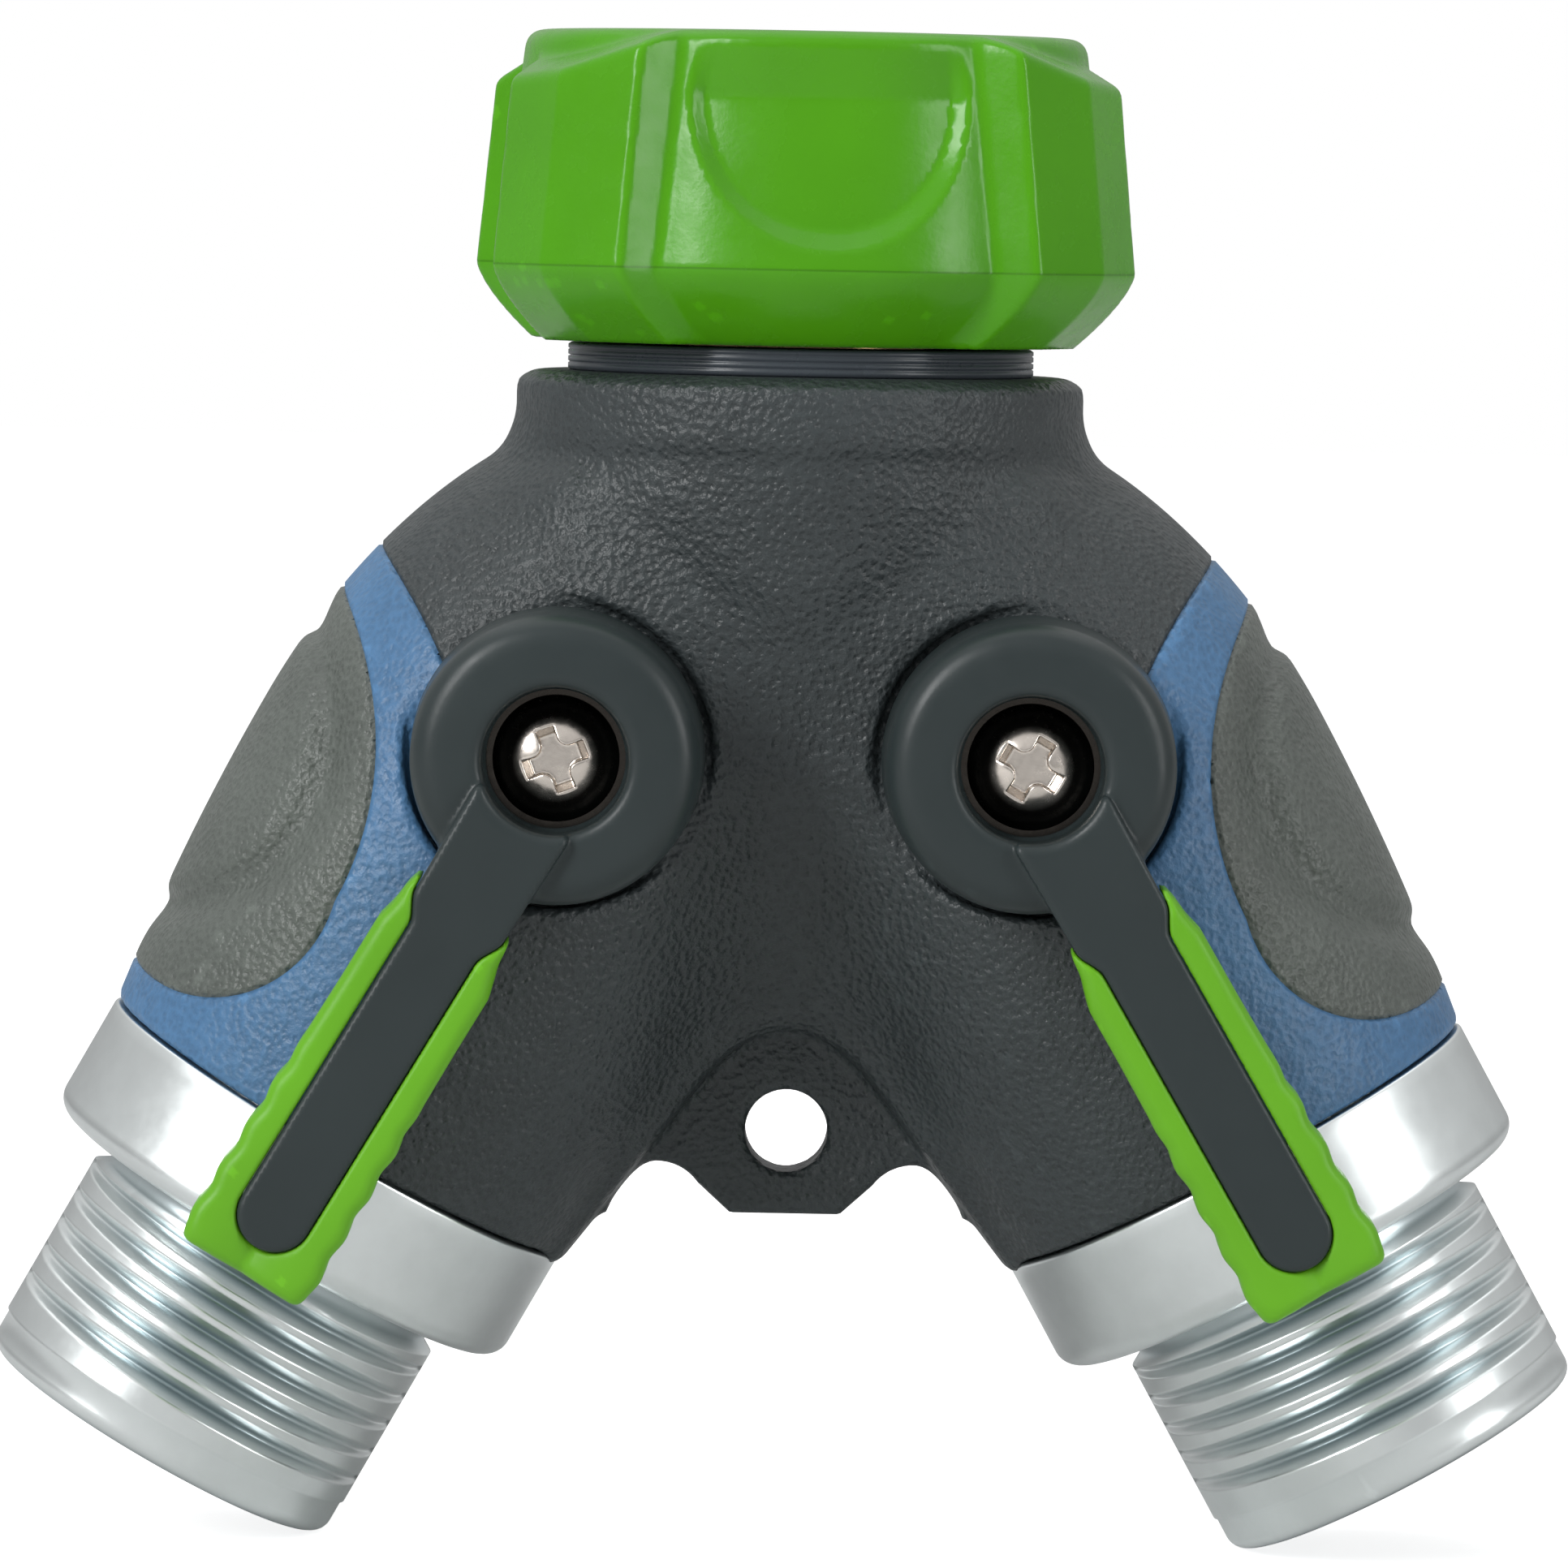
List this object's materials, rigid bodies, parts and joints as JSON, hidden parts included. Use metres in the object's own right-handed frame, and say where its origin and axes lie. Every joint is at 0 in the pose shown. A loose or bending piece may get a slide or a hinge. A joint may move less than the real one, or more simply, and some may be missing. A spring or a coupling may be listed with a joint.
{
  "type": "hose splitter",
  "caption": "Y-shaped garden hose splitter with a swivel inlet nut, lever-turned ball valves, male threaded outlets, rubber grip cover and a hang tab.",
  "frame": {"origin": "centre of the hose washer's sealing face, on the inlet's axis", "axes": "+Z out of the inlet nut's mouth, +X towards the right leg, the levers face -Y"},
  "size_m": [0.1094, 0.0482, 0.1045],
  "materials": {
    "cast_metal": "die-cast, plain",
    "bright_metal": "bright satin plating, thread edges worn shiny",
    "dark_rubber": "fine leather grain, matt",
    "blue_rubber": "satin moulded elastomer",
    "grey_rubber": "fine leather grain, matt",
    "dark_collar": "turned ring, satin",
    "green_plastic": "semi-gloss, faint moulded grain",
    "green_rubber": "satin moulded elastomer",
    "dark_plastic": "satin",
    "screw_steel": "bright nickel",
    "brass": "turned",
    "ball_chrome": "polished",
    "steel": "ground",
    "white_seat": "smooth, waxy",
    "seal_rubber": "smooth black"
  },
  "bodies": {
    "splitter_body": {"valve_body": "cast_metal", "body_cover": "dark_rubber", "swivel_collar": "dark_collar", "inlet_stem": "brass", "inlet_stem_seal": "seal_rubber", "side_band_left": "blue_rubber", "grip_pad_left": "grey_rubber", "outlet_left": "bright_metal", "outlet_seal_left": "seal_rubber", "ball_seat_upper_left": "white_seat", "ball_seat_lower_left": "white_seat", "stop_pin_left": "steel", "side_band_right": "blue_rubber", "grip_pad_right": "grey_rubber", "outlet_right": "bright_metal", "outlet_seal_right": "seal_rubber", "ball_seat_upper_right": "white_seat", "ball_seat_lower_right": "white_seat", "stop_pin_right": "steel"},
    "swivel_nut": {"nut_grip": "green_plastic", "nut_insert": "cast_metal", "inlet_washer": "seal_rubber"},
    "left_valve": {"lever_left": "dark_plastic", "lever_grip_left": "green_rubber", "lever_screw_left": "screw_steel", "lever_washer_left": "screw_steel", "valve_stem_left": "brass", "stem_seals_left": "seal_rubber", "ball_left": "ball_chrome"},
    "right_valve": {"lever_right": "dark_plastic", "lever_grip_right": "green_rubber", "lever_screw_right": "screw_steel", "lever_washer_right": "screw_steel", "valve_stem_right": "brass", "stem_seals_right": "seal_rubber", "ball_right": "ball_chrome"}
  },
  "joints": [
    {"name": "nut_swivel", "type": "hinge", "parent": "splitter_body", "child": "swivel_nut", "pos_m": [0, 0, 0], "axis": [0, 0, 1], "continuous": true},
    {"name": "left_valve_turn", "type": "hinge", "parent": "splitter_body", "child": "left_valve", "pos_m": [-0.01595, 0, -0.03864], "axis": [0, 1, 0], "range_deg": [0, 90]},
    {"name": "right_valve_turn", "type": "hinge", "parent": "splitter_body", "child": "right_valve", "pos_m": [0.01595, 0, -0.03864], "axis": [0, -1, 0], "range_deg": [0, 90]}
  ]
}
